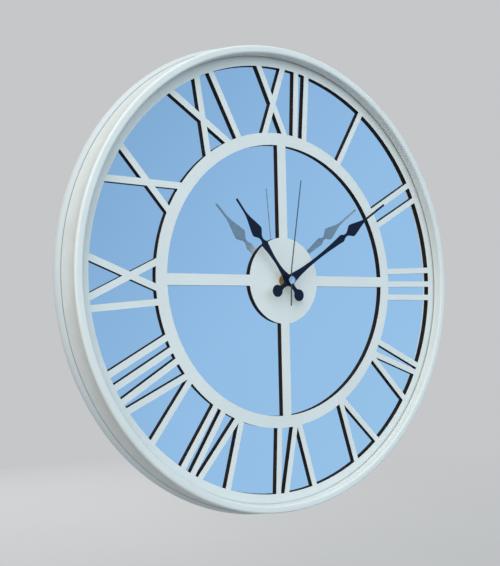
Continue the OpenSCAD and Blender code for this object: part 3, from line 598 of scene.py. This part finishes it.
# Countersunk screws of the hanger plate, in mm: the profile's radius and height, and the recess's reach,
# width and depth
WOOD_SCREW = [(0.02, -12), (1.2, -11), (1.75, -9.6), (1.75, -1.5), (3.38, -0.12), (3.4, -0.1), (3.36, 0.0)]
WOOD_RECESS = (2.0, 0.85, 1.2)
ends = [(Vector((0, 1, 0)), Vector(((low.x + high.x) / 2, high.y, (low.z + high.z) / 2)))
        for low, high in islands("hanger_screws")]
set_screws("hanger_screws", screw(WOOD_SCREW, WOOD_RECESS), ends)

# Round-headed screws of the retaining clips, whose heads face the axis
PAN_SCREW = [(0.02, -10), (1.5, -9), (1.5, -1.8), (2.8, -1.8), (2.8, -1.0), (2.62, -0.5), (2.2, -0.16),
             (1.6, -0.02), (1.3, 0.0)]
PAN_RECESS = (1.5, 0.7, 0.9)
HEAD_R = 236.878 * MM
ends = []
for low, high in islands("clip_screws"):
    middle = (low + high) / 2
    out = Vector((middle.x - AXIS.x, 0, middle.z - AXIS.z)).normalized()
    ends.append((-out, Vector((AXIS.x, middle.y, AXIS.z)) + out * HEAD_R))
set_screws("clip_screws", screw(PAN_SCREW, PAN_RECESS), ends)

# Threaded bush with a real thread, its flange behind the board
BUSH_R, BUSH_BORE, PITCH, THREAD, CHAMFER = 3.95 * MM, 2.55 * MM, 0.75 * MM, 0.36 * MM, 0.5 * MM
# The thread's flanks rise this much faster than to a sharp crest, which leaves the crest flat
CREST = 1.25
BUSH_STEPS, BUSH_ROWS = 48, 216
bush_low, bush_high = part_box("threaded_bush")
flange_low, flange_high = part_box("rubber_gasket")
flange_r = (bush_high.x - bush_low.x) / 2
front, back = -bush_low.y, -bush_high.y
bm = bmesh.new()
rings = []
for row in range(BUSH_ROWS + 1):
    h = back + (front - back) * row / BUSH_ROWS
    rings.append([])
    for i in range(BUSH_STEPS):
        turn = i / BUSH_STEPS
        phase = (h / PITCH - turn) % 1
        rise = min(1, CREST * (1 - abs(2 * phase - 1)))
        r = min(BUSH_R - THREAD * (1 - rise), BUSH_R - CHAMFER + (front - h))
        rings[-1].append(bm.verts.new(turned(axle, r, 2 * math.pi * turn, h)))
for h in (front, back):
    rings.append([bm.verts.new(turned(axle, BUSH_BORE, 2 * math.pi * i / BUSH_STEPS, h))
                  for i in range(BUSH_STEPS)])
skin(bm, rings)
spin(bm, [(BUSH_R - CHAMFER, -flange_high.y), (flange_r, -flange_high.y), (flange_r, -flange_low.y),
          (BUSH_R - CHAMFER, -flange_low.y)], axle)
piece("bush_thread", bm, ["brass"], stands_for=("threaded_bush",), angle=28)

# Hexagon nut with its corners turned off outside the round land of its faces
NUT_STEPS, NUT_LAND, NUT_SLOPE = 96, 0.97, 0.58
nut_low, nut_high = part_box("hex_nut")
half = (nut_high.z - nut_low.z) / 2
land = half * NUT_LAND
front, back = -nut_low.y, -nut_high.y
angles = [2 * math.pi * i / NUT_STEPS for i in range(NUT_STEPS)]
corners = [half / math.cos((a % (math.pi / 3)) - math.pi / 6) for a in angles]
drops = [max(0.0, corner - land) * NUT_SLOPE for corner in corners]
levels = [
    [(BUSH_R, back)] * NUT_STEPS,
    [(land, back)] * NUT_STEPS,
    [(corner, back + drop) for corner, drop in zip(corners, drops)],
    [(corner, front - drop) for corner, drop in zip(corners, drops)],
    [(land, front)] * NUT_STEPS,
    [(BUSH_R, front)] * NUT_STEPS,
]
bm = bmesh.new()
skin(bm, [[bm.verts.new(turned(axle, r, a, h)) for (r, h), a in zip(level, angles)] for level in levels])
piece("nut_chamfered", bm, ["brass"], stands_for=("hex_nut",), angle=25)

# Cap of the second hand: a pressed eyelet with a rolled rim and a shallow domed middle
ROLL, ROLL_TURN, CAP_EDGE = 0.62 * MM, 150, 0.1 * MM
ROLL_STEPS, DOME_STEPS = 12, 10
# Shares of the cap's height, apart from the dome's share of its radius
RIM_H, DOME_R, DOME_FROM, DOME_RISE = 0.92, 0.72, 0.66, 0.34
cap_low, cap_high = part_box("hand_cap")
cap_r, cap_h = (cap_high.z - cap_low.z) / 2, cap_high.y - cap_low.y
base = -cap_high.y
foot = [(PINHOLE, base), (cap_r - CAP_EDGE, base), (cap_r, base + CAP_EDGE)]
rim = arc((cap_r - ROLL, base + cap_h * RIM_H - ROLL), ROLL, 0, ROLL_TURN, ROLL_STEPS)
dome = [(DOME_R * cap_r * (1 - t), base + cap_h * (DOME_FROM + DOME_RISE * (1 - (1 - t) ** 2)))
        for t in (i / DOME_STEPS for i in range(DOME_STEPS))]
bm = bmesh.new()
spin(bm, foot + rim + dome + [(PINHOLE, base + cap_h)], axle, closed=False)
bmesh.ops.holes_fill(bm, edges=bm.edges, sides=0)
piece("cap_rolled", bm, ["chrome"], "second", ("hand_cap",), 50)

# Battery cell: steel can in a printed sleeve, with rolled shoulders, a seal ring and a nub
CELL_STEPS = 72
NUB_R, NUB_H = 2.7 * MM, 1.3 * MM
cell_low, cell_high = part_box("battery_cell")
cell_r, length = (cell_high.z - cell_low.z) / 2, cell_high.x - cell_low.x
end = length - NUB_H
SLEEVE, BAND, STEEL, SEAL = range(4)
# Radius, height above the flat end, and finish up to the next point
points = [
    (PINHOLE, 0.25 * MM, STEEL), (cell_r * 0.62, 0.25 * MM, STEEL), (cell_r * 0.68, 0.0, STEEL),
    (cell_r * 0.86, 0.0, SLEEVE), (cell_r * 0.96, 0.35 * MM, SLEEVE), (cell_r, 1.1 * MM, SLEEVE),
    (cell_r, length * 0.66, BAND), (cell_r, length * 0.70, SLEEVE),
    (cell_r, end - 1.3 * MM, SLEEVE), (cell_r * 0.96, end - 0.4 * MM, SLEEVE), (cell_r * 0.84, end, STEEL),
    (cell_r * 0.78, end, SEAL), (cell_r * 0.70, end - 0.25 * MM, SEAL),
    (NUB_R * 1.35, end - 0.25 * MM, STEEL), (NUB_R * 1.15, end, STEEL), (NUB_R, end + 0.3 * MM, STEEL),
    (NUB_R, length - 0.25 * MM, STEEL), (NUB_R * 0.88, length, STEEL), (PINHOLE, length, STEEL),
]
flat_end = Vector((cell_low.x, (cell_low.y + cell_high.y) / 2, (cell_low.z + cell_high.z) / 2))
bm = bmesh.new()
spin(bm, [(r, h) for r, h, key in points], along((1, 0, 0), flat_end), CELL_STEPS, closed=False,
     keys=[key for r, h, key in points[:-1]])
bmesh.ops.holes_fill(bm, edges=bm.edges, sides=0)
piece("cell_sleeved", bm, ["sleeve", "band", "cell_steel", "acetal"], "battery",
      ("battery_cell",), 40)

# Moulded marks on the back of the movement: polarity beside the bay, a turning arrow round the knob
case_low, case_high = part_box("movement_case")
bay_z = cell_high.z
PROUD, SUNK, TAPER = 0.22 * MM, 0.2 * MM, 0.75


def raised(bm, x, z, w, h, turn=0.0):
    """A low raised bar on the back of the case, with sloping sides."""
    rot = Matrix.Rotation(turn, 3, "Y")
    for v in bmesh.ops.create_cube(bm, size=1)["verts"]:
        top = v.co.y > 0
        size = TAPER if top else 1.0
        flat = rot @ Vector((v.co.x * w * size, 0, v.co.z * h * size))
        v.co = Vector((x, case_high.y + (PROUD if top else -SUNK), z)) + flat


SIGN, SIGN_BAR, SIGN_IN, SIGN_UP = 4.2 * MM, 0.9 * MM, 6 * MM, 4.6 * MM
mark_z = bay_z + SIGN_UP
bm = bmesh.new()
raised(bm, case_high.x - SIGN_IN, mark_z, SIGN, SIGN_BAR)
raised(bm, case_high.x - SIGN_IN, mark_z, SIGN_BAR, SIGN)
raised(bm, case_low.x + SIGN_IN, mark_z, SIGN, SIGN_BAR)
ARC_R, ARC_FROM, ARC_STEP, ARC_BARS = 8.6 * MM, -30, 7.5, 18
ARROW_W, DASH, BARB, BARB_OUT, BARB_BACK, BARB_TURN = 0.8 * MM, 1.5 * MM, 2.6 * MM, 0.9 * MM, 0.05, 0.75
knob_low, knob_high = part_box("setting_knob")
knob = (knob_low + knob_high) / 2
for i in range(ARC_BARS):
    a = math.radians(ARC_FROM + i * ARC_STEP)
    raised(bm, knob.x + ARC_R * math.cos(a), knob.z + ARC_R * math.sin(a), ARROW_W, DASH, -a)
tip = math.radians(ARC_FROM + ARC_BARS * ARC_STEP)
for side in (-1, 1):
    r, a = ARC_R + side * BARB_OUT, tip - BARB_BACK
    raised(bm, knob.x + r * math.cos(a), knob.z + r * math.sin(a), ARROW_W, BARB, -tip + side * BARB_TURN)
# Frame lines of the moulding around the upper half of the case
RIB, RIB_IN, RIB_UP = 0.7 * MM, 2.2 * MM, 8.5 * MM
low_z, high_z = bay_z + RIB_UP, case_high.z - RIB_IN
raised(bm, 0, high_z, case_high.x - case_low.x - 2 * RIB_IN, RIB)
for x in (case_low.x + RIB_IN, case_high.x - RIB_IN):
    raised(bm, x, (low_z + high_z) / 2, RIB, high_z - low_z)
piece("case_marks", bm, ["case"], angle=20)


# Stage, light and camera

BACKDROP = (0.56, 0.57, 0.585)
FLOOR_R, FLOOR_DROP = 14, 0.32
# Distances from the middle of the floor at which it starts to fade and has the backdrop's colour, and the
# share of that colour near the middle
FADE_FROM, FADE_TO, FADE_LEAST = 0.5, 2.4, 0.35
bm = bmesh.new()
bmesh.ops.create_circle(bm, cap_ends=True, radius=FLOOR_R, segments=96)
data = bpy.data.meshes.new("floor")
bm.to_mesh(data)
bm.free()
floor = bpy.data.objects.new("floor", data)
floor.location = (0, 0, cad_box[0][2] - FLOOR_DROP)
scene.collection.objects.link(floor)
# Pale near the clock and the backdrop's colour further off, and clear to what is reflected
m = material("floor_pale", (0.50, 0.50, 0.50), 0.85, specular=0.0)
tree = m["tree"]
light_path = tree.nodes.new("ShaderNodeLightPath").outputs
pale = ramp(m, noise(m, 3, 3), [(0.3, (0.49, 0.49, 0.49)), (0.7, (0.51, 0.51, 0.51))])
colour(m, blend(m, (0.32, 0.32, 0.32), pale, light_path["Is Camera Ray"]))
from_middle = vector_maths(m, "LENGTH", m["coords"]).outputs["Value"]
share = span(m, from_middle, FADE_LEAST, 1.0, FADE_FROM, FADE_TO)
fade = maths(m, "MULTIPLY", share, light_path["Is Camera Ray"])
glow = tree.nodes.new("ShaderNodeEmission")
glow.inputs["Color"].default_value = (*BACKDROP, 1)
clear = tree.nodes.new("ShaderNodeBsdfTransparent")
surface = m["shader"].outputs["BSDF"]
for other, fac in ((glow.outputs["Emission"], fade), (clear.outputs["BSDF"], light_path["Is Glossy Ray"])):
    swap = tree.nodes.new("ShaderNodeMixShader")
    tree.links.new(fac, swap.inputs["Fac"])
    tree.links.new(surface, swap.inputs[1])
    tree.links.new(other, swap.inputs[2])
    surface = swap.outputs["Shader"]
tree.links.new(surface, tree.nodes["Material Output"].inputs["Surface"])
data.materials.append(m["mat"])

# The surround: pale to the camera, soft cool light, and a clear sky in front for what is reflected
FRONT_LIGHT, BACK_LIGHT, BACK_PALE = (1.10, 1.40, 1.60), (0.29, 0.29, 0.29), (0.72, 0.74, 0.76)
world = bpy.data.worlds.new("surround")
scene.world = world
world.use_nodes = True
tree = world.node_tree
tree.nodes.clear()
w = {"tree": tree, "coords": tree.nodes.new("ShaderNodeTexCoord").outputs["Generated"]}
separate = tree.nodes.new("ShaderNodeSeparateXYZ")
tree.links.new(w["coords"], separate.inputs["Vector"])
axes = separate.outputs
light_path = tree.nodes.new("ShaderNodeLightPath").outputs
# Deeper blue up and to the left
SKY_TILT = -0.6
sky = ramp(w, maths(w, "MULTIPLY_ADD", axes["Z"], SKY_TILT, axes["X"]), [
    (0.0, (0.222, 0.418, 0.690)), (0.33, (0.248, 0.452, 0.726)), (0.59, (0.318, 0.556, 0.852)),
    (0.84, (0.352, 0.606, 0.885)), (1.0, (0.40, 0.64, 0.90))])
reflected = blend(w, sky, BACK_PALE, span(w, axes["Y"], 0.0, 1.0, -0.05, 0.2))
dome = blend(w, FRONT_LIGHT, BACK_LIGHT, span(w, axes["Y"], 0.0, 1.0, -0.9, -0.1))
rays = blend(w, dome, reflected, light_path["Is Glossy Ray"])
seen = blend(w, rays, BACKDROP, light_path["Is Camera Ray"])
background = tree.nodes.new("ShaderNodeBackground")
tree.links.new(seen, background.inputs["Color"])
tree.links.new(background.outputs["Background"], tree.nodes.new("ShaderNodeOutputWorld").inputs["Surface"])


def softbox(name, place, size, power, tint):
    """A round lamp that faces the clock and shows neither itself nor its reflection."""
    lamp = bpy.data.lights.new(name, "AREA")
    lamp.shape = "DISK"
    lamp.size = size
    lamp.energy = power
    lamp.color = tint
    obj = bpy.data.objects.new(name, lamp)
    obj.location = place
    obj.rotation_euler = (AXIS - Vector(place)).to_track_quat("-Z", "Y").to_euler()
    obj.visible_glossy = False
    obj.visible_camera = False
    scene.collection.objects.link(obj)


softbox("key", (-2.4, -1.3, 2.2), 4.2, 94, (1.0, 0.97, 0.88))
softbox("rear", (0.5, 2.7, 0.45), 1.2, 52, (1.0, 0.98, 0.95))

# The camera, as solved from the rings of the dial
CAMERA_AT = (-0.5425, -0.7066, -0.2438)
RIGHT, UP = Vector((0.80755, -0.58936, -0.02286)), Vector((0.02099, -0.01003, 0.99973))
LENS, SENSOR, SHIFT = 51.80, 36, 0.0761
camera_data = bpy.data.cameras.new("camera")
camera_data.sensor_fit = "VERTICAL"
camera_data.sensor_height = SENSOR
camera_data.lens = LENS
camera_data.shift_y = SHIFT
camera = bpy.data.objects.new("camera", camera_data)
camera_turn = Matrix((RIGHT, UP, RIGHT.cross(UP))).transposed()
camera.matrix_world = Matrix.Translation(CAMERA_AT) @ camera_turn.to_4x4()
scene.collection.objects.link(camera)
scene.camera = camera
scene.view_settings.view_transform = "Standard"
